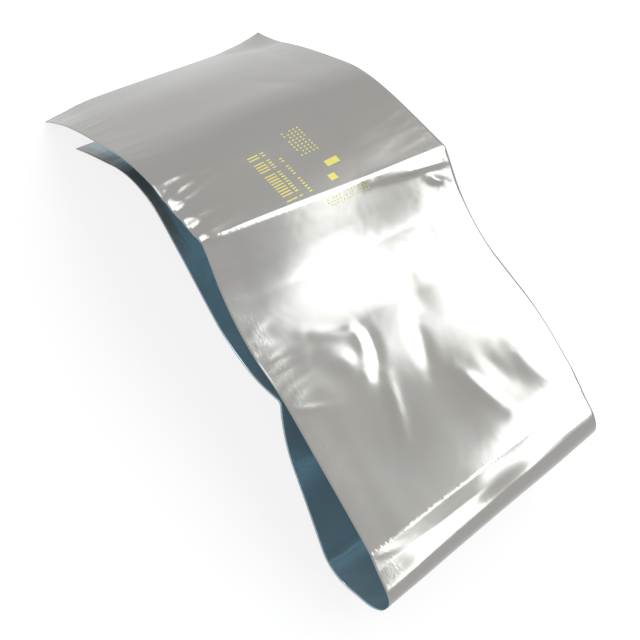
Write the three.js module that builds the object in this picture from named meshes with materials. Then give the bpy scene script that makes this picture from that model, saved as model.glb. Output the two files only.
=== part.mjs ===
import * as THREE from 'three';

// A long metallised film bag, open at its mouth, that was once packed folded in quarters and now
// stands as a loose arch: up from the mouth to a first crease, over to a second, round a hairpin
// and back underneath to its closed end. Millimetres, +Z up.
//
// The flat bag is measured along its length from the mouth (u), across it from its middle (v) and
// up from the plane between its two walls (h). Every fold and swell of the arch then turns that
// flat bag about a line across it, so the film keeps its length and width.

// The flat bag
const BAG_LENGTH = 609.6;
const BAG_WIDTH = 101.6;
const FILM = 0.08;
const SIDE_SEAL = 8;
const END_FOLD = 1.5;

// How far the two walls lie apart inside the seals
const SLACK = 0.16;
const MOUTH_GAPE = 0.9;
const GAPE_REACH = 35;
const SEAL_EASE = 9;

// The three packing creases, from the mouth
const CREASE_ONE = 149;
const CREASE_TWO = 278;
const CREASE_THREE = 435;
const CREASE_RUN = 2;

// Folds and swells in order from the mouth. A fold's middle crosses the bag's centre line at `at`,
// turned by `skew` degrees from square. The film turns by `turn` degrees over `run`, away from its
// printed face where `turn` is positive.
const FOLDS = [
  { at: 30, skew: -17, turn: 11, run: 69 },
  { at: CREASE_ONE - 52, skew: -6, turn: 22, run: 40 },
  { at: CREASE_ONE, skew: -6, turn: 74, run: CREASE_RUN },
  { at: CREASE_ONE + 38, skew: -1, turn: -67, run: 36 },
  { at: CREASE_ONE + 77, skew: -10, turn: 23, run: 25 },
  { at: CREASE_TWO - 13, skew: 9, turn: 42, run: 17 },
  { at: CREASE_TWO, skew: 7, turn: -41, run: CREASE_RUN },
  { at: CREASE_TWO + 15, skew: 10, turn: 90, run: 15 },
  { at: CREASE_TWO + 54, skew: -7, turn: 56, run: 20 },
  { at: CREASE_TWO + 80, skew: -3, turn: 71, run: 21 },
  { at: CREASE_THREE - 33, skew: 16, turn: 27, run: 29 },
  { at: CREASE_THREE, skew: -1, turn: -104, run: CREASE_RUN * 1.5 },
  { at: CREASE_THREE + 41, skew: -10, turn: 40, run: 38 },
  { at: CREASE_THREE + 118, skew: -5, turn: -49, run: 46 },
];

// Mesh steps: the most that the film turns, and runs, from one row of points to the next
const TURN_STEP = 14;
const ROW_STEP = 11;
const COLUMNS_INSIDE = 8;

const radians = THREE.MathUtils.degToRad;
const UP = new THREE.Vector3(0, 0, 1);

// A fold is a cylinder bend: `ahead` crosses it in the flat film, `hinge` runs along it, and the
// bend's axis lies a radius below the point where the film starts to turn.
function laidOut({ at, skew, turn, run }) {
  const ahead = new THREE.Vector3(Math.cos(radians(skew)), Math.sin(radians(skew)), 0);
  const hinge = UP.clone().cross(ahead);
  const start = new THREE.Vector3(at, 0, 0).addScaledVector(ahead, -run / 2);
  const axis = start.clone().addScaledVector(UP, -run / radians(turn));
  return { ahead, hinge, start, axis, turn: radians(turn), run };
}

const LAID_OUT_FOLDS = FOLDS.map(laidOut);

// The place of a point of the flat bag once every fold is made, the one farthest from the mouth
// first. Film that lies past a fold is drawn back by the run and swung round by the whole turn, and
// film inside it by its share of both.
function folded(u, v, h) {
  const flat = new THREE.Vector3(u, v, 0);
  const place = new THREE.Vector3(u, v, h);
  for (const fold of LAID_OUT_FOLDS.toReversed()) {
    const past = THREE.MathUtils.clamp(flat.clone().sub(fold.start).dot(fold.ahead), 0, fold.run);
    place.addScaledVector(fold.ahead, -past);
    place.sub(fold.axis).applyAxisAngle(fold.hinge, (fold.turn * past) / fold.run).add(fold.axis);
  }
  return place;
}

// Rows of points follow the folds: each row is a straight line across the flat bag, and between one
// fold and the next the rows fan evenly from one skew to the other.
function rowLines() {
  const mouth = { u: 0, slope: 0, turn: 0 };
  const endFold = { u: BAG_LENGTH - END_FOLD, slope: 0, turn: 0 };
  const end = { u: BAG_LENGTH, slope: 0, turn: 0 };
  const edges = FOLDS.flatMap(({ at, skew, turn, run }) => {
    const slope = -Math.tan(radians(skew));
    const reach = run / 2 / Math.cos(radians(skew));
    return [{ u: at - reach, slope, turn: 0 }, { u: at + reach, slope, turn }];
  });
  const onTheBag = edges.filter(({ u, slope }) => u - Math.abs(slope) * (BAG_WIDTH / 2) > 0);
  const keyLines = [mouth, ...onTheBag, endFold, end];
  const lines = [mouth];
  for (let key = 1; key < keyLines.length; key += 1) {
    const from = keyLines[key - 1];
    const to = keyLines[key];
    const steps = Math.ceil(Math.max((to.u - from.u) / ROW_STEP, Math.abs(to.turn) / TURN_STEP));
    for (let step = 1; step <= steps; step += 1) {
      const share = step / steps;
      lines.push({
        u: THREE.MathUtils.lerp(from.u, to.u, share),
        slope: THREE.MathUtils.lerp(from.slope, to.slope, share),
      });
    }
  }
  return lines;
}

// Columns: the two edges, the inner lines of the side seals, and even steps between those.
function columnPlaces() {
  const inside = BAG_WIDTH / 2 - SIDE_SEAL;
  const even = Array.from({ length: COLUMNS_INSIDE + 1 }, (_, column) =>
    THREE.MathUtils.lerp(-inside, inside, column / COLUMNS_INSIDE));
  return [-BAG_WIDTH / 2, ...even, BAG_WIDTH / 2];
}

// Half the gap between the walls: nothing at the side seals and the end fold, a little slack in the
// middle, and more towards the mouth.
function halfGap(u, v) {
  const fromSeal = BAG_WIDTH / 2 - SIDE_SEAL - Math.abs(v);
  const fromEnd = BAG_LENGTH - END_FOLD - u;
  const gape = SLACK + (MOUTH_GAPE - SLACK) * Math.exp(-u / GAPE_REACH);
  const across = THREE.MathUtils.smoothstep(fromSeal, 0, SEAL_EASE);
  const along = THREE.MathUtils.smoothstep(fromEnd, 0, SEAL_EASE);
  return (gape * across * along) / 2;
}

// The bag as one closed skin: the outside of both walls, the inside of both, the rim of the mouth,
// the two seal edges and the end. The insides meet along the seals and the end fold.
function bagGeometry() {
  const rows = rowLines();
  const columns = columnPlaces();
  const lastRow = rows.length - 1;
  const lastColumn = columns.length - 1;
  const positions = [];
  const faces = [];

  const layer = (rowCount, firstColumn, columnCount, heightAt) =>
    rows.slice(0, rowCount).map(({ u: middle, slope }) =>
      columns.slice(firstColumn, firstColumn + columnCount).map((v) => {
        const u = middle + slope * v;
        positions.push(...folded(u, v, heightAt(u, v)).toArray());
        return positions.length / 3 - 1;
      }));
  const triangle = (...corners) => faces.push(...corners);
  const quad = (a, b, c, d) => {
    triangle(a, b, c);
    triangle(a, c, d);
  };
  // Faces between two lines of points, one ahead of the other
  const strip = (line, nextLine) => {
    for (let place = 1; place < line.length; place += 1) {
      quad(line[place - 1], nextLine[place - 1], nextLine[place], line[place]);
    }
  };
  const skin = (grid) => grid.slice(1).forEach((line, row) => strip(grid[row], line));
  const turnedOver = (grid) => grid.map((line) => line.toReversed());
  const columnOf = (grid, column) => grid.map((line) => line.at(column));

  const top = layer(lastRow + 1, 0, lastColumn + 1, (u, v) => halfGap(u, v) + FILM);
  const bottom = layer(lastRow + 1, 0, lastColumn + 1, (u, v) => -halfGap(u, v) - FILM);
  const innerTop = layer(lastRow, 1, lastColumn - 1, halfGap);
  const innerBottom = layer(lastRow, 1, lastColumn - 1, (u, v) => -halfGap(u, v));

  skin(top);
  skin(turnedOver(bottom));
  skin(turnedOver(innerTop));
  skin(innerBottom);
  strip(columnOf(top, 0), columnOf(bottom, 0));
  strip(columnOf(bottom, -1), columnOf(top, -1));
  strip(top[lastRow], bottom[lastRow]);

  // The rim of the mouth: each wall's own edge, and the two seals' ends round the inner corner
  strip(innerTop[0], top[0].slice(1, -1));
  strip(bottom[0].slice(1, -1), innerBottom[0]);
  const fan = (hub, outline) => {
    for (let place = 1; place < outline.length; place += 1) {
      triangle(hub, outline[place - 1], outline[place]);
    }
  };
  fan(innerTop[0].at(0), [bottom[0].at(1), bottom[0].at(0), top[0].at(0), top[0].at(1)]);
  fan(innerTop[0].at(-1), [top[0].at(-2), top[0].at(-1), bottom[0].at(-1), bottom[0].at(-2)]);

  const geometry = new THREE.BufferGeometry();
  geometry.setAttribute('position', new THREE.Float32BufferAttribute(positions, 3));
  geometry.setIndex(faces);
  return geometry;
}

// The film arch tips about its mouth until the mouth and the hairpin both meet the table.
function restingTilt() {
  const edges = [-BAG_WIDTH / 2, 0, BAG_WIDTH / 2];
  const mouth = edges.map((v) => folded(0, v, 0));
  const hairpin = [];
  for (let u = CREASE_TWO; u < CREASE_THREE; u += 1) {
    hairpin.push(...edges.map((v) => folded(u, v, 0)));
  }
  const lowest = (places, tilt) => Math.min(...places.map(({ x, z }) => x * Math.sin(tilt) + z * Math.cos(tilt)));
  let low = radians(20);
  let high = radians(80);
  for (let halving = 0; halving < 40; halving += 1) {
    const tilt = (low + high) / 2;
    if (lowest(hairpin, tilt) < lowest(mouth, tilt)) low = tilt;
    else high = tilt;
  }
  return (low + high) / 2;
}

function filmBag() {
  const film = new THREE.MeshStandardMaterial({ color: 0xa5a5a2, metalness: 0.9, roughness: 0.25 });
  const bag = new THREE.Mesh(bagGeometry(), film);
  bag.name = 'film_bag';
  bag.rotation.y = -restingTilt();
  return bag;
}

// The origin lies on the table, below the middle of the arch.
const model = new THREE.Group();
model.add(filmBag());
const extent = new THREE.Box3().setFromObject(model, true);
const middle = extent.getCenter(new THREE.Vector3());
model.position.set(-middle.x, -middle.y, -extent.min.z);

export default model;
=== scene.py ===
"""A long metallised film bag, folded in quarters and sprung open to a low arch.

The two walls of the bag are surfaces of two parameters: `along`, the flat film's length from the
mouth, and `across`, its width from the middle. Every fold bends that flat film about a line across
it, and dents, puckers and curls lift it off its plane first. Sizes here are millimetres in the flat
bag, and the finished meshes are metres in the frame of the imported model.
"""

import math

import bpy
import numpy as np
from mathutils import Matrix, Vector


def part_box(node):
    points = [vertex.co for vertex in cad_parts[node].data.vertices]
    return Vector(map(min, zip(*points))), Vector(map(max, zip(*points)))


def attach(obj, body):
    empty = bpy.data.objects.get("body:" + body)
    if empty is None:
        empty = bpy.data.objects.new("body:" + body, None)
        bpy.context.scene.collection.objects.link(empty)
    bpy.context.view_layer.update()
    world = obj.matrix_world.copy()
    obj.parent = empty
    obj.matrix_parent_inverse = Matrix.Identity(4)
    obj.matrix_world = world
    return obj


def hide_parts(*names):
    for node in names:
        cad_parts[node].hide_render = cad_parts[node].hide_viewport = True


MM = 0.001

# The flat bag
BAG_LENGTH = 609.6
BAG_WIDTH = 101.6
FILM = 0.08
SIDE_SEAL = 8.0
END_FOLD = 1.5
HALF_WIDTH = BAG_WIDTH / 2
SEAL_LINE = HALF_WIDTH - SIDE_SEAL

# How far the two walls lie apart inside the side seals, and over what lengths that changes
SLACK = 0.16
MOUTH_GAPE = 0.9
GAPE_REACH = 35.0
SEAL_EASE = 9.0

# The three packing creases, from the mouth
CREASE_ONE = 149.0
CREASE_TWO = 276.0
CREASE_THREE = 435.0
CREASE_TWO_SKEW = 8
CREASE_RUN = 2.0

# Folds in order from the mouth: place on the centre line, skew and turn in degrees, run
FOLDS = [
    (30, -17, 11, 69),
    (CREASE_ONE - 52, -6, 22, 40),
    (CREASE_ONE, -6, 74, CREASE_RUN),
    (CREASE_ONE + 35, -2, -66, 36),
    (CREASE_ONE + 77, -10, 27, 22),
    (CREASE_TWO - 12, 10, 4, 17),
    (CREASE_TWO, CREASE_TWO_SKEW, 25, CREASE_RUN),
    (CREASE_TWO + 19, 11, 61, 15),
    (CREASE_TWO + 57, -8, 51, 18),
    (CREASE_TWO + 81, -3, 74, 18),
    (CREASE_THREE - 33, 16, 28, 29),
    (CREASE_THREE, -1, -106.8, CREASE_RUN * 1.5),
    (CREASE_THREE + 41, -11, 38.9, 38),
    (CREASE_THREE + 119, -3.4, -49.8, 46),
]
ARCH_TILT = 54.314

# Grid steps: along the film where the photograph looks and elsewhere, and the turn per row
FINE_STEP = 1.05
PLAIN_STEP = 1.9
FINE_REACH = 300.0
TURN_STEP = 4.0
COLUMN_STEP_SEAL = 0.85
COLUMN_STEP_MIDDLE = 1.4

# The camera, in metres and degrees
CAMERA_TARGET = Vector((0.0145, -0.0120, 0.0397))
CAMERA_AZIMUTH = -42.39
CAMERA_ELEVATION = 60.96
CAMERA_ROLL = 22.24
CAMERA_DISTANCE = 1.1314
CAMERA_LENS = 164.02


def smooth(share):
    """A cubic ease from 0 to 1."""
    share = np.clip(share, 0, 1)
    return share * share * (3 - 2 * share)


def fold_up(along, across, height):
    """Flat film points bent at every fold, the farthest from the mouth first.

    Film past a fold is drawn back by the fold's run and swung by its whole turn about an axis a
    radius below the film. Film inside the fold takes its share of both.
    """
    flat = np.stack([along, across], axis=-1)
    place = np.stack([along, across, height], axis=-1)
    for at, skew, turn, run in reversed(FOLDS):
        skew, turn = math.radians(skew), math.radians(turn)
        ahead = np.array([math.cos(skew), math.sin(skew), 0])
        hinge = np.array([-math.sin(skew), math.cos(skew), 0])
        start = np.array([at, 0, 0]) - ahead * run / 2
        radius = run / turn
        share = np.clip((flat - start[:2]) @ ahead[:2] / run, 0, 1)
        cos, sin = np.cos(share * turn), np.sin(share * turn)
        past = (place - start) @ ahead - share * run
        side = (place - start) @ hinge
        up = place[..., 2] + radius
        place = start + side[..., None] * hinge + (past * cos + up * sin)[..., None] * ahead
        place[..., 2] += up * cos - past * sin - radius
    return place


def stand(place):
    """Folded points tilted to rest on the mouth and the hairpin."""
    tilt = math.radians(ARCH_TILT)
    x = place[..., 0] * math.cos(tilt) - place[..., 2] * math.sin(tilt)
    z = place[..., 0] * math.sin(tilt) + place[..., 2] * math.cos(tilt)
    return np.stack([x, place[..., 1], z], axis=-1)


def row_lines():
    """Rows of the grid as (middle, slope) pairs that fan from one fold line to the next."""
    keys = [(0.0, 0.0, 0.0)]
    for at, skew, turn, run in FOLDS:
        slope = -math.tan(math.radians(skew))
        reach = run / 2 / math.cos(math.radians(skew))
        keys += [(at - reach, slope, 0.0), (at + reach, slope, abs(turn))]
    keys = [key for key in keys if key[0] == 0 or key[0] > abs(key[1]) * HALF_WIDTH]
    keys += [(BAG_LENGTH - END_FOLD, 0.0, 0.0), (BAG_LENGTH, 0.0, 0.0)]
    lines = [np.array([[0.0, 0.0]])]
    for start, end in zip(keys, keys[1:]):
        step = FINE_STEP if start[0] < FINE_REACH else PLAIN_STEP
        count = math.ceil(max((end[0] - start[0]) / step, end[2] / TURN_STEP))
        share = np.arange(1, count + 1)[:, None] / count
        lines.append((1 - share) * np.array([start[:2]]) + share * np.array([end[:2]]))
    return np.concatenate(lines)


def column_places():
    """Columns of the grid, closer together on and beside the side seals."""
    close = 2 * SIDE_SEAL
    inner = HALF_WIDTH - close
    edge = np.linspace(0, close, math.ceil(close / COLUMN_STEP_SEAL) + 1)[:-1]
    middle = np.linspace(-inner, inner, math.ceil(2 * inner / COLUMN_STEP_MIDDLE) + 1)
    return np.concatenate([edge - HALF_WIDTH, middle, (HALF_WIDTH - edge)[::-1]])


def half_gap(along, across):
    """Half the gap between the walls: none at the seals, slack inside, more at the mouth."""
    gape = SLACK + (MOUTH_GAPE - SLACK) * np.exp(-along / GAPE_REACH)
    from_seal = smooth((SEAL_LINE - np.abs(across)) / SEAL_EASE)
    from_end = smooth((BAG_LENGTH - END_FOLD - along) / SEAL_EASE)
    return gape * from_seal * from_end / 2


# Ridges and furrows pressed into the film: three points of a bow as (along, across), the width and
# the height of the ridge, negative for a furrow
STROKES = [
    ((196, -30), (202, -22), (207, -12), 3.0, 0.35),
    ((204, -10), (212, -8), (226, -15), 2.4, -0.45),
    ((204, -13), (213, -11), (224, -18), 2.6, 0.40),
    ((205, -33), (212, -20), (226, -20), 5.0, 0.50),
    ((228, -12), (238, -14), (252, -18), 2.2, 0.30),
    ((213, 9), (224, 6), (236, 3), 3.0, -0.32),
    ((238, 12), (247, 15), (262, 22), 2.6, 0.35),
    ((236, 24), (245, 24), (255, 30), 3.0, -0.16),
    ((240, 36), (252, 36), (262, 44), 4.0, 0.40),
    ((153, 18), (156, 34), (160, 53), 2.2, 0.50),
    ((162, 40), (165, 43), (168, 47), 1.6, 0.30),
    ((180, 34), (190, 30), (200, 33), 3.0, -0.16),
    ((184, 12), (200, 18), (222, 12), 6.0, -0.22),
    ((100, 20), (118, 32), (138, 28), 8.0, 0.35),
    ((60, 18), (76, 24), (92, 30), 4.0, -0.20),
    ((108, -44), (111, -38), (112, -28), 1.6, -0.20),
]

# Points tried along each bow, and how a ridge fades towards its two ends without reaching nothing
STROKE_POINTS = 25
STROKE_ENDS = 0.08
STROKE_FADE = 0.7

# Broad dents: centre as (along, across), reach along and across, and depth, negative for a swell
DENTS = [
    (250, -30, 26, 20, 0.55),
    (248, 4, 16, 9, 0.30),
    (246, 10, 14, 26, -0.80),
    (172, -26, 18, 22, -0.35),
    (120, 0, 30, 26, 0.30),
    (60, -10, 34, 28, -0.35),
    (350, 10, 30, 26, 0.40),
    (405, -12, 26, 22, -0.35),
    (480, 14, 34, 26, 0.45),
    (545, -10, 36, 28, -0.40),
]


def stroke_height(along, across):
    """Ridges and furrows along bowed lines: a bell across each line that fades at its two ends."""
    total = np.zeros_like(along)
    share = np.linspace(0, 1, STROKE_POINTS)
    for first, middle, last, width, height in STROKES:
        bow = [
            (1 - share) ** 2 * a + 2 * share * (1 - share) * b + share**2 * c
            for a, b, c in zip(first, middle, last)
        ]
        far = (along[..., None] - bow[0]) ** 2 + (across[..., None] - bow[1]) ** 2
        nearest = far.argmin(axis=-1)
        inside = np.clip(share[nearest], STROKE_ENDS, 1 - STROKE_ENDS)
        fade = np.sin(np.pi * inside) ** STROKE_FADE
        total += height * fade * np.exp(-far.min(axis=-1) / width**2)
    return total


def dent_height(along, across):
    """Broad dents and swells, each a bell over an ellipse."""
    total = np.zeros_like(along)
    for at, side, reach_along, reach_across, depth in DENTS:
        far = ((along - at) / reach_along) ** 2 + ((across - side) / reach_across) ** 2
        total -= depth * np.exp(-far)
    return total


# Puckers: the least and the most of the gap to the next one, the width, the reach into the film, the
# height and the lean, then each edge with its share of the height, the line where they are highest
# and how they fall off outside it, where they start and stop, and the stretches where they crowd
PUCKER_SEED = 14
PUCKER_LEAST = [5, 1.1, 5, 0.06, -0.35]
PUCKER_MOST = [13, 2.0, 12, 0.28, 0.35]
PUCKER_SIDES = [(-1, 1.0), (1, 0.35)]
PUCKER_LINE = SEAL_LINE + 2
PUCKER_OUTER_REACH = 7
PUCKER_OUTER_EASE = 5
PUCKERS_START = 6.0
PUCKERS_STOP = BAG_LENGTH - 10
CROWDED = [(104, 146), (180, 228)]
CROWDED_GAP = 0.62
CALM_HEIGHT = 0.35


def pucker_height(along, across):
    """Short puckers square to each side seal, of uneven spacing and size, fading into the film."""
    rng = np.random.default_rng(PUCKER_SEED)
    total = np.zeros_like(along)
    for side, strength in PUCKER_SIDES:
        at = PUCKERS_START
        while at < PUCKERS_STOP:
            gap, width, reach, size, lean = rng.uniform(PUCKER_LEAST, PUCKER_MOST)
            crowded = any(first < at < last for first, last in CROWDED)
            inward = PUCKER_LINE - side * across
            ridge = np.exp(-(((along - at - lean * inward) / width) ** 2))
            fade = np.exp(-((inward / reach) ** 2))
            fade = fade * smooth((inward + PUCKER_OUTER_REACH) / PUCKER_OUTER_EASE)
            total += strength * (1.0 if crowded else CALM_HEIGHT) * size * ridge * fade
            at += gap * (CROWDED_GAP if crowded else 1.0)
    return total


# The mouth's corners: the one at the left edge droops, the one at the right edge curls up
DROOP = 1.6
DROOP_REACH = 26.0
CURL = 3.4
CURL_REACH = 22.0

# The stretch of the left seal that is rolled down and ruffled beside the first crease
ROLLED_SEAL = 1.7
ROLL_START = 104.0
ROLL_EASE_IN = 12.0
ROLL_EASE_OUT = 8.0
RUFFLE = 1.5
RUFFLE_STEP = 1.9


def curl_height(along, across):
    """The mouth's two corners, and the rolled, ruffled stretch of the left seal."""
    down = np.clip(1 - np.hypot(along, across + HALF_WIDTH) / DROOP_REACH, 0, 1)
    up = np.clip(1 - np.hypot(along, across - HALF_WIDTH) / CURL_REACH, 0, 1)
    ruffle = RUFFLE * np.sin(along / RUFFLE_STEP)
    edge = np.clip((-across - SEAL_LINE + ruffle) / SIDE_SEAL, 0, 1)
    rolled = smooth((along - ROLL_START) / ROLL_EASE_IN)
    rolled = rolled * smooth((CREASE_ONE - along) / ROLL_EASE_OUT)
    return CURL * up**1.5 - DROOP * down**1.5 - ROLLED_SEAL * rolled * edge**2


# The second crease pulls the film down towards the right edge
SAG = 2.3
SAG_BEFORE = 11.0
SAG_AFTER = 12.0
SAG_START = -5.0
SAG_SPAN = 60.0


def past_crease_two(along, across):
    """The distance along the film past the second crease, which runs askew."""
    return along - CREASE_TWO + math.tan(math.radians(CREASE_TWO_SKEW)) * across


def sag_height(along, across):
    """The dip along the second crease, deepest at the bag's right edge."""
    past = past_crease_two(along, across)
    near = smooth(1 - np.maximum(-past / SAG_BEFORE, past / SAG_AFTER))
    return -SAG * smooth((across - SAG_START) / SAG_SPAN) * near


# A narrow ledge just past the second crease, towards the left edge
LEDGE = 1.3
LEDGE_FACE = 9.0
LEDGE_REACH = 28.0
LEDGE_SPAN = 28.0


def ledge_height(along, across):
    """The film drops a little past the second crease and comes back up in the bend below it."""
    past = past_crease_two(along, across)
    drop = np.clip(past / LEDGE_FACE, 0, 1) * smooth((LEDGE_REACH - past) / (LEDGE_REACH - LEDGE_FACE))
    return -LEDGE * drop * (1 - smooth((across - SAG_START) / LEDGE_SPAN))


# The film's long waves: how many, the shortest and the longest, and their height for their length
SWELL_SEED = 5
SWELL_WAVES = 14
SHORTEST_WAVE = 22
LONGEST_WAVE = 75
WAVE_HEIGHT = 0.0011


def swell_height(along, across):
    """A faint unevenness of the whole film, as a few long waves at odd angles."""
    rng = np.random.default_rng(SWELL_SEED)
    total = np.zeros_like(along)
    for _ in range(SWELL_WAVES):
        length, heading, phase = rng.uniform([SHORTEST_WAVE, 0, 0], [LONGEST_WAVE, np.pi, 2 * np.pi])
        wave = (along * np.cos(heading) + across * np.sin(heading)) * 2 * np.pi / length
        total += length * WAVE_HEIGHT * np.cos(wave + phase)
    return total


def film_height(along, across):
    """How far the film is lifted off the flat bag's plane."""
    height = swell_height(along, across) + dent_height(along, across)
    height += stroke_height(along, across) + pucker_height(along, across)
    height += curl_height(along, across) + sag_height(along, across)
    return height + ledge_height(along, across)


# How strongly the film is crinkled on the seals and at each packing crease, where 1 is the most
SEAL_CRINKLE = 0.12
SEAL_CRINKLE_START = SEAL_LINE - 3
SEAL_CRINKLE_EASE = 4.0
CREASE_CRINKLES = {CREASE_ONE: 0.22, CREASE_TWO: 0.30, CREASE_THREE: 0.60}


def crinkle_share(along, across):
    """Where the film is finely crinkled: at the packing creases, less on the seals."""
    total = SEAL_CRINKLE * smooth((np.abs(across) - SEAL_CRINKLE_START) / SEAL_CRINKLE_EASE)
    for at, skew, _, run in FOLDS:
        off = (along - at) + math.tan(math.radians(skew)) * across
        total += CREASE_CRINKLES.get(at, 0.0) * np.exp(-((off / (0.5 * run)) ** 2))
    return np.clip(total, 0, 1)


def wall_mesh(name, side, shift):
    """One wall of the bag: a closed shell, its outside and inside a film's thickness apart.

    side is 1 for the printed wall, above the flat bag's plane, and -1 for the other.
    """
    rows = row_lines()
    columns = column_places()
    across = np.broadcast_to(columns, (len(rows), len(columns)))
    along = rows[:, :1] + rows[:, 1:] * across
    gap = half_gap(along, across)
    lift = film_height(along, across)
    layers = [lift + side * (gap + FILM), lift + side * gap]
    points = np.stack([stand(fold_up(along, across, layer)) for layer in layers])
    points = (points + shift).reshape(-1, 3) * MM

    count = along.size
    index = np.arange(count).reshape(along.shape)
    quads = np.stack([index[:-1, :-1], index[1:, :-1], index[1:, 1:], index[:-1, 1:]], axis=-1)
    quads = quads.reshape(-1, 4)
    rim = np.concatenate([index[0, :-1], index[:-1, -1], index[-1, :0:-1], index[:0:-1, 0]])
    ahead = np.roll(rim, -1)
    band = np.stack([rim, ahead, ahead + count, rim + count], axis=-1)
    faces = np.concatenate([quads, quads[:, ::-1] + count, band])
    if side < 0:
        faces = faces[:, ::-1]

    mesh = bpy.data.meshes.new(name)
    mesh.vertices.add(len(points))
    mesh.vertices.foreach_set("co", points.astype(np.float32).ravel())
    mesh.loops.add(faces.size)
    mesh.loops.foreach_set("vertex_index", faces.astype(np.int32).ravel())
    mesh.polygons.add(len(faces))
    mesh.polygons.foreach_set("loop_start", np.arange(0, faces.size, 4, dtype=np.int32))
    mesh.update(calc_edges=True)
    mesh.validate()
    mesh.shade_smooth()

    flat = np.stack([along, across, np.zeros_like(along)], axis=-1).reshape(-1, 3) * MM
    place = mesh.attributes.new("flat_place", "FLOAT_VECTOR", "POINT")
    place.data.foreach_set("vector", np.tile(flat, (2, 1)).astype(np.float32).ravel())
    crinkle = mesh.attributes.new("crinkle", "FLOAT", "POINT")
    share = crinkle_share(along, across).ravel()
    crinkle.data.foreach_set("value", np.tile(share, 2).astype(np.float32))

    wall = bpy.data.objects.new(name, mesh)
    bpy.context.scene.collection.objects.link(wall)
    return wall


def link(tree, source, target):
    """Join an output socket to an input socket."""
    tree.links.new(source, target)


def math_node(tree, operation, *values):
    """A Math node fed by numbers or sockets; returns its output."""
    node = tree.nodes.new("ShaderNodeMath")
    node.operation = operation
    for socket, value in zip(node.inputs, values):
        if isinstance(value, (int, float)):
            socket.default_value = value
        else:
            link(tree, value, socket)
    return node.outputs[0]


def clamp(tree, value):
    """A value kept between 0 and 1."""
    node = tree.nodes.new("ShaderNodeClamp")
    link(tree, value, node.inputs["Value"])
    return node.outputs[0]


def mix_colours(tree, share, first, second):
    """A colour mix; each colour is a socket or an (r, g, b) triple."""
    node = tree.nodes.new("ShaderNodeMix")
    node.data_type = "RGBA"
    link(tree, share, node.inputs["Factor"])
    for socket, value in ((node.inputs["A"], first), (node.inputs["B"], second)):
        if isinstance(value, tuple):
            socket.default_value = (*value, 1)
        else:
            link(tree, value, socket)
    return node.outputs["Result"]


def noise(tree, vector, scale, detail, distortion=0.0):
    """A Noise texture of some scale per metre; returns its value output."""
    node = tree.nodes.new("ShaderNodeTexNoise")
    node.inputs["Scale"].default_value = scale
    node.inputs["Detail"].default_value = detail
    node.inputs["Distortion"].default_value = distortion
    link(tree, vector, node.inputs["Vector"])
    return node.outputs[0]


def new_group(name, inputs, outputs):
    """An empty shader node group with its sockets; returns group, input node and output node."""
    group = bpy.data.node_groups.new(name, "ShaderNodeTree")
    for socket, kind in inputs:
        group.interface.new_socket(socket, in_out="INPUT", socket_type=kind)
    for socket, kind in outputs:
        group.interface.new_socket(socket, in_out="OUTPUT", socket_type=kind)
    return group, group.nodes.new("NodeGroupInput"), group.nodes.new("NodeGroupOutput")


# The film's fine relief and its clouds: pattern scales per metre, the orange peel's share beside the
# ripple, and the share of those two beside the crinkles
PEEL_SCALE = 220
RIPPLE_SCALE = 60
CELL_SCALE = 420
CLOUD_SCALE = 16
PEEL_SHARE = 0.12
SOFT_SHARE = 0.35


def film_relief_group():
    """Fine relief of the film: a soft orange peel all over and sharp crinkles where it was creased."""
    group, start, end = new_group(
        "film_relief",
        [("Place", "NodeSocketVector"), ("Crinkle", "NodeSocketFloat")],
        [("Height", "NodeSocketFloat"), ("Cloud", "NodeSocketFloat")],
    )
    place, crinkle = start.outputs["Place"], start.outputs["Crinkle"]
    peel = noise(group, place, PEEL_SCALE, 2)
    ripple = noise(group, place, RIPPLE_SCALE, 2, distortion=0.6)
    cells = group.nodes.new("ShaderNodeTexVoronoi")
    cells.feature = "DISTANCE_TO_EDGE"
    cells.inputs["Scale"].default_value = CELL_SCALE
    link(group, place, cells.inputs["Vector"])
    sharp = math_node(group, "MULTIPLY", cells.outputs["Distance"], crinkle)
    soft = math_node(group, "ADD", math_node(group, "MULTIPLY", peel, PEEL_SHARE), ripple)
    height = math_node(group, "ADD", math_node(group, "MULTIPLY", soft, SOFT_SHARE), sharp)
    link(group, height, end.inputs["Height"])
    cloud = noise(group, place, CLOUD_SCALE, 3, distortion=0.4)
    link(group, cloud, end.inputs["Cloud"])
    return group


# The print, as (first along, last along, first across, last across, bars each way) in millimetres:
# ladders of short bars with a few left out, and plain solid fields where both counts are one
PRINT_FIELDS = [
    (115, 146, -14.0, -9.5, 19, 1),
    (115, 146, -8.5, -7.0, 19, 1),
    (122, 146, -4.0, -2.8, 14, 1),
    (110, 127, 4.0, 12.5, 9, 5),
    (133.5, 137.0, 9.0, 14.5, 1, 1),
    (141.0, 144.5, 6.0, 9.0, 1, 1),
    (151.5, 156.0, 0.0, 18.0, 3, 14),
]
BAR_SHARE = 0.42
BARS_LEFT_OUT = 0.16
INK = (0.56, 0.49, 0.03)
INK_COVER = 0.72
INK_HIDES_METAL = 0.75
INK_ROUGHNESS = 0.2

# Each wall's two colours, which cloud into each other: the printed wall's silver, and the rear wall's
# blue-grey, which is painted shade for the dim light between the folded walls. Then the strip at the
# rear wall's end, painted lit in plain silver grey as though it
# mirrored the pale room: its colour, where it starts along and across in metres, and how quickly it
# comes in
SILVER = ((0.335, 0.325, 0.300), (0.315, 0.312, 0.300))
SHADE_BLUE = ((0.25, 0.38, 0.44), (0.42, 0.55, 0.61))
LIT_STRIP = (0.30, 0.30, 0.29)
STRIP_START = 0.512
STRIP_EDGE = -0.0455
STRIP_RISE_ALONG = 60
STRIP_RISE_ACROSS = 600

# The film's finish: its least roughness, what the clouds add to that, and the depth of its relief
SMOOTHEST = 0.13
CLOUDY = 0.10
REAR_METAL = 0.6
RELIEF_STRENGTH = 0.35
RELIEF_DEPTH = 0.0006


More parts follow.
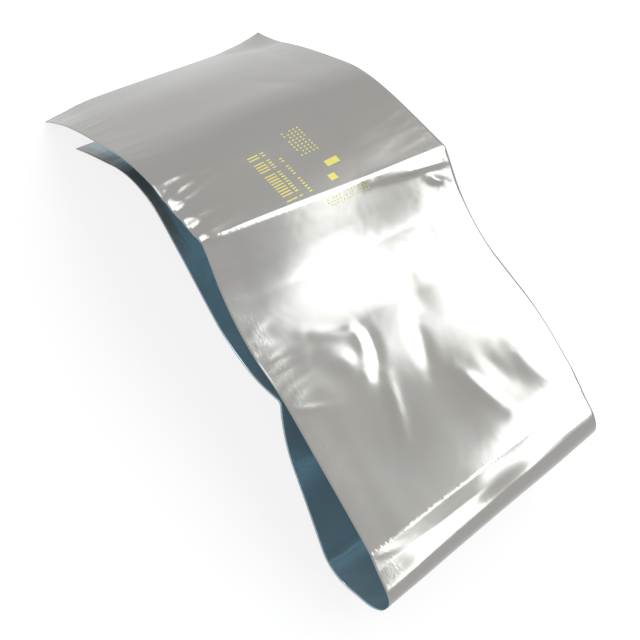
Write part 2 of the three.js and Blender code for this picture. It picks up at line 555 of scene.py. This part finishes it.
def print_group():
    """A mask of the print: each field is cut into bars by a repeat, and a hash leaves some out."""
    group, start, end = new_group(
        "yellow_print", [("Place", "NodeSocketVector")], [("Mask", "NodeSocketFloat")]
    )
    axes = group.nodes.new("ShaderNodeSeparateXYZ")
    link(group, start.outputs["Place"], axes.inputs[0])
    total = None
    for first_along, last_along, first_across, last_across, count_along, count_across in PRINT_FIELDS:
        shares = []
        cells = []
        spans = (
            (axes.outputs[0], first_along, last_along, count_along),
            (axes.outputs[1], first_across, last_across, count_across),
        )
        for value, first, last, count in spans:
            past = math_node(group, "SUBTRACT", value, first * MM)
            share = math_node(group, "DIVIDE", past, (last - first) * MM)
            inside = math_node(group, "COMPARE", share, 0.5, 0.5)
            scaled = math_node(group, "MULTIPLY", share, count)
            cells.append(math_node(group, "FLOOR", scaled))
            filled = 1.0 if count == 1 else BAR_SHARE
            bar = math_node(group, "LESS_THAN", math_node(group, "FRACT", scaled), filled)
            shares.append(math_node(group, "MULTIPLY", inside, bar))
        mask = math_node(group, "MULTIPLY", *shares)
        if count_along * count_across > 1:
            hashed = group.nodes.new("ShaderNodeTexWhiteNoise")
            hashed.noise_dimensions = "2D"
            joined = group.nodes.new("ShaderNodeCombineXYZ")
            link(group, cells[0], joined.inputs[0])
            link(group, cells[1], joined.inputs[1])
            link(group, joined.outputs[0], hashed.inputs["Vector"])
            kept = math_node(group, "GREATER_THAN", hashed.outputs["Value"], BARS_LEFT_OUT)
            mask = math_node(group, "MULTIPLY", mask, kept)
        total = mask if total is None else math_node(group, "MAXIMUM", total, mask)
    link(group, total, end.inputs["Mask"])
    return group


def place_attribute(tree, name):
    """A mesh attribute that the walls carry."""
    node = tree.nodes.new("ShaderNodeAttribute")
    node.attribute_name = name
    return node


def film_material(name, relief, colours, printed=None, strip=None):
    """Metallised film: a mirror-like metal, a little cloudy, with fine relief as bump.

    printed is the group that masks the ink, and strip the colour of the strip at the wall's end, a
    painted reflection of the pale room laid over the wall's painted shade.
    """
    material = bpy.data.materials.new(name)
    material.use_nodes = True
    tree = material.node_tree
    shader = tree.nodes["Principled BSDF"]
    place = place_attribute(tree, "flat_place").outputs["Vector"]
    crinkle = place_attribute(tree, "crinkle").outputs["Fac"]
    surface = tree.nodes.new("ShaderNodeGroup")
    surface.node_tree = relief
    link(tree, place, surface.inputs["Place"])
    link(tree, crinkle, surface.inputs["Crinkle"])
    cloud = surface.outputs["Cloud"]

    colour = mix_colours(tree, cloud, *colours)
    roughness = math_node(tree, "ADD", math_node(tree, "MULTIPLY", cloud, CLOUDY), SMOOTHEST)
    metal = None
    # The strip at the rear wall's end is painted lit: plain silver grey over the painted shade, as
    # though the film there mirrored the pale room
    if strip is not None:
        axes = tree.nodes.new("ShaderNodeSeparateXYZ")
        link(tree, place, axes.inputs[0])
        past_start = math_node(tree, "SUBTRACT", axes.outputs[0], STRIP_START)
        past_edge = math_node(tree, "SUBTRACT", STRIP_EDGE, axes.outputs[1])
        from_end = math_node(tree, "MULTIPLY", past_start, STRIP_RISE_ALONG)
        beside = math_node(tree, "MULTIPLY", past_edge, STRIP_RISE_ACROSS)
        both = math_node(tree, "MULTIPLY", clamp(tree, from_end), clamp(tree, beside))
        colour = mix_colours(tree, both, colour, strip)
    if printed is not None:
        ink = tree.nodes.new("ShaderNodeGroup")
        ink.node_tree = printed
        link(tree, place, ink.inputs["Place"])
        worn = math_node(tree, "MULTIPLY", ink.outputs["Mask"], INK_COVER)
        colour = mix_colours(tree, worn, colour, INK)
        hidden = math_node(tree, "MULTIPLY", worn, INK_HIDES_METAL)
        metal = math_node(tree, "SUBTRACT", 1.0, hidden)
        rougher = math_node(tree, "MULTIPLY", worn, INK_ROUGHNESS)
        roughness = math_node(tree, "ADD", roughness, rougher)
    link(tree, colour, shader.inputs["Base Color"])
    link(tree, roughness, shader.inputs["Roughness"])
    if metal is None:
        shader.inputs["Metallic"].default_value = REAR_METAL
    else:
        link(tree, metal, shader.inputs["Metallic"])
    bump = tree.nodes.new("ShaderNodeBump")
    bump.inputs["Strength"].default_value = RELIEF_STRENGTH
    bump.inputs["Distance"].default_value = RELIEF_DEPTH
    link(tree, surface.outputs["Height"], bump.inputs["Height"])
    link(tree, bump.outputs["Normal"], shader.inputs["Normal"])
    return material


# The floor and the world: their plain light, and what camera and reflections see besides
FLOOR_REACH = 6.0
FLOOR_GREY = 0.12
FLOOR_GLOW = 0.84
SKY = 0.65
SKY_EXTRA = 0.35


def make_floor():
    """A pale floor that camera and reflections see as white, darker only in the bag's shadow."""
    mesh = bpy.data.meshes.new("floor")
    reach = FLOOR_REACH
    corners = [(-reach, -reach, 0), (reach, -reach, 0), (reach, reach, 0), (-reach, reach, 0)]
    mesh.from_pydata(corners, [], [(0, 1, 2, 3)])
    floor = bpy.data.objects.new("floor", mesh)
    bpy.context.scene.collection.objects.link(floor)
    material = bpy.data.materials.new("pale_floor")
    material.use_nodes = True
    tree = material.node_tree
    tree.nodes.clear()
    output = tree.nodes.new("ShaderNodeOutputMaterial")
    diffuse = tree.nodes.new("ShaderNodeBsdfDiffuse")
    diffuse.inputs["Color"].default_value = (FLOOR_GREY, FLOOR_GREY, FLOOR_GREY, 1)
    glow = tree.nodes.new("ShaderNodeEmission")
    seen = seen_directly(tree)
    link(tree, math_node(tree, "MULTIPLY", seen, FLOOR_GLOW), glow.inputs["Strength"])
    both = tree.nodes.new("ShaderNodeAddShader")
    link(tree, diffuse.outputs[0], both.inputs[0])
    link(tree, glow.outputs[0], both.inputs[1])
    link(tree, both.outputs[0], output.inputs["Surface"])
    mesh.materials.append(material)


def seen_directly(tree):
    """1 for camera, glossy and transmission rays, else 0."""
    path = tree.nodes.new("ShaderNodeLightPath")
    seen = math_node(tree, "MAXIMUM", path.outputs["Is Camera Ray"], path.outputs["Is Glossy Ray"])
    return math_node(tree, "MAXIMUM", seen, path.outputs["Is Transmission Ray"])


def make_world():
    """A white world, brighter to camera and reflections than to the surfaces that it lights."""
    world = bpy.data.worlds.new("studio")
    bpy.context.scene.world = world
    world.use_nodes = True
    tree = world.node_tree
    background = tree.nodes["Background"]
    background.inputs["Color"].default_value = (1, 1, 1, 1)
    extra = math_node(tree, "MULTIPLY", seen_directly(tree), SKY_EXTRA)
    link(tree, math_node(tree, "ADD", extra, SKY), background.inputs["Strength"])


# All lamps are a little cool
LAMP_TINT = (0.94, 0.975, 1.0)


def add_softbox(name, centre, aim, width, height, radiance, spin=0.0):
    """A rectangular lamp facing a point, set by the radiance that its face shows."""
    data = bpy.data.lights.new(name, "AREA")
    data.shape = "RECTANGLE"
    data.size = width
    data.size_y = height
    data.energy = math.pi * width * height * radiance
    data.color = LAMP_TINT
    lamp = bpy.data.objects.new(name, data)
    bpy.context.scene.collection.objects.link(lamp)
    away = (Vector(centre) - Vector(aim)).normalized()
    turn = away.to_track_quat("Z", "Y").to_matrix().to_4x4()
    roll = Matrix.Rotation(math.radians(spin), 4, "Z")
    lamp.matrix_world = Matrix.Translation(centre) @ turn @ roll
    return lamp


def make_lights():
    """A wide overhead softbox whose near edge crosses the film's reflection, a slim one to the side
    that the film below the first crease mirrors, and one at the left for the shaded faces."""
    overhead = add_softbox(
        "overhead",
        centre=(-0.10, 1.77, 2.0),
        aim=(-0.10, 1.77, 0.0),
        width=6.9,
        height=3.46,
        radiance=2.6,
    )
    overhead.data.shape = "ELLIPSE"
    add_softbox(
        "side",
        centre=(1.728, 0.470, 0.95),
        aim=(0.0, 0.0, 0.08),
        width=0.17,
        height=1.40,
        radiance=5.0,
        spin=6,
    )
    add_softbox(
        "left",
        centre=(-1.20, -0.70, 1.10),
        aim=(-0.05, -0.03, 0.09),
        width=0.9,
        height=0.6,
        radiance=2.6,
    )


def make_camera():
    """The photograph's viewpoint, from a fit of the bag's edges and creases."""
    azimuth, elevation, roll = (
        math.radians(angle) for angle in (CAMERA_AZIMUTH, CAMERA_ELEVATION, CAMERA_ROLL)
    )
    forward = Vector((
        math.cos(elevation) * math.sin(azimuth),
        math.cos(elevation) * math.cos(azimuth),
        -math.sin(elevation),
    ))
    level = Vector((math.cos(azimuth), -math.sin(azimuth), 0))
    upright = level.cross(forward)
    right = level * math.cos(roll) + upright * math.sin(roll)
    up = upright * math.cos(roll) - level * math.sin(roll)
    data = bpy.data.cameras.new("camera")
    data.sensor_width = 36
    data.lens = CAMERA_LENS
    camera = bpy.data.objects.new("camera", data)
    bpy.context.scene.collection.objects.link(camera)
    turn = Matrix((right, up, -forward)).transposed().to_4x4()
    camera.matrix_world = Matrix.Translation(CAMERA_TARGET - forward * CAMERA_DISTANCE) @ turn
    bpy.context.scene.camera = camera


def packed_place():
    """The move that sets the folded film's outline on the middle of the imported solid's box."""
    low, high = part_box("film_bag")
    rows = row_lines()
    across = np.array([-HALF_WIDTH, 0.0, HALF_WIDTH])
    along = rows[:, :1] + rows[:, 1:] * across
    across = np.broadcast_to(across, along.shape)
    faces = [stand(fold_up(along, across, np.full(along.shape, side))) for side in (-FILM, FILM)]
    outline = np.stack(faces).reshape(-1, 3)
    least, most = outline.min(axis=0), outline.max(axis=0)
    middle = (np.array(low) + np.array(high)) / 2 / MM
    return np.array([
        middle[0] - (least[0] + most[0]) / 2,
        middle[1] - (least[1] + most[1]) / 2,
        low[2] / MM - least[2],
    ])


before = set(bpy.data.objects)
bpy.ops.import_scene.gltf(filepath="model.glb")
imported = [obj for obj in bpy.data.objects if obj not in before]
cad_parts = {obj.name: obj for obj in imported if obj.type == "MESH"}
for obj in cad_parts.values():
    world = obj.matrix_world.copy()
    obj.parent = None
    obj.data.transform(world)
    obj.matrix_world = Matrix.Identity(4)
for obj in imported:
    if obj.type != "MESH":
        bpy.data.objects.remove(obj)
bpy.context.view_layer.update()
make_camera()
make_world()
make_floor()
make_lights()

shift = packed_place()
relief = film_relief_group()
outer_film = film_material("silver_film", relief, SILVER, printed=print_group())
# The rear wall's blue-grey is painted shade for the dim light between the folded walls
rear_film = film_material("silver_film_rear_painted_shade", relief, SHADE_BLUE, strip=LIT_STRIP)

front = wall_mesh("front_wall", 1, shift)
front.data.materials.append(outer_film)
rear = wall_mesh("rear_wall", -1, shift)
rear.data.materials.append(rear_film)
for wall in (front, rear):
    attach(wall, "root")
    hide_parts("film_bag")

bpy.context.scene.view_settings.view_transform = "Standard"
